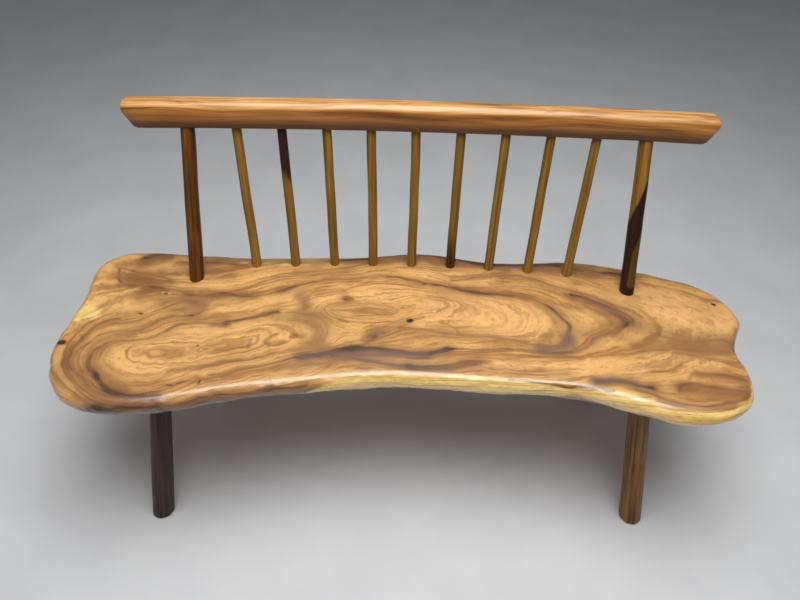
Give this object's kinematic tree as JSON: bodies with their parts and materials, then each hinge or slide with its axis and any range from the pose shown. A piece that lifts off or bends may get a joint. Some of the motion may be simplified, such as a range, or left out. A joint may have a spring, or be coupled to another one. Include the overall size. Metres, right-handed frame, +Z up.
{
  "type": "log bench",
  "caption": "Live-edge slab bench with splayed tapered legs and a low back of slender raked spindles between end posts under a bowed crest rail.",
  "frame": {"origin": "on the floor, under the middle of the bench's overall box", "axes": "+X along the bench to the sitter's left (the right side in the front view), +Y from the front edge to the back, +Z up"},
  "size_m": [1.6129, 0.6037, 0.853],
  "materials": {
    "seat": "satin clear lacquer on strongly figured golden-tan slab wood with dark brown streaks and pale sapwood",
    "rail": "satin clear lacquer on streaked golden-brown wood",
    "post": "satin clear lacquer on dark red-brown heartwood",
    "spindle": "satin clear lacquer on plain golden-brown wood",
    "leg": "satin clear lacquer on dark brown heartwood",
    "joinery": "plain oiled wood"
  },
  "bodies": {
    "root": {"crest_rail": "rail", "leg_front_left": "leg", "leg_front_right": "leg", "leg_rear_left": "leg", "leg_rear_right": "leg", "leg_wedge_front_left": "joinery", "leg_wedge_front_right": "joinery", "leg_wedge_rear_left": "joinery", "leg_wedge_rear_right": "joinery", "post_left": "post", "post_right": "post", "rail_peg_left": "joinery", "rail_peg_right": "joinery", "seat_slab": "seat", "spindle_1": "spindle", "spindle_2": "spindle", "spindle_3": "spindle", "spindle_4": "spindle", "spindle_5": "spindle", "spindle_6": "spindle", "spindle_7": "spindle", "spindle_8": "spindle", "spindle_9": "spindle"}
  },
  "joints": []
}
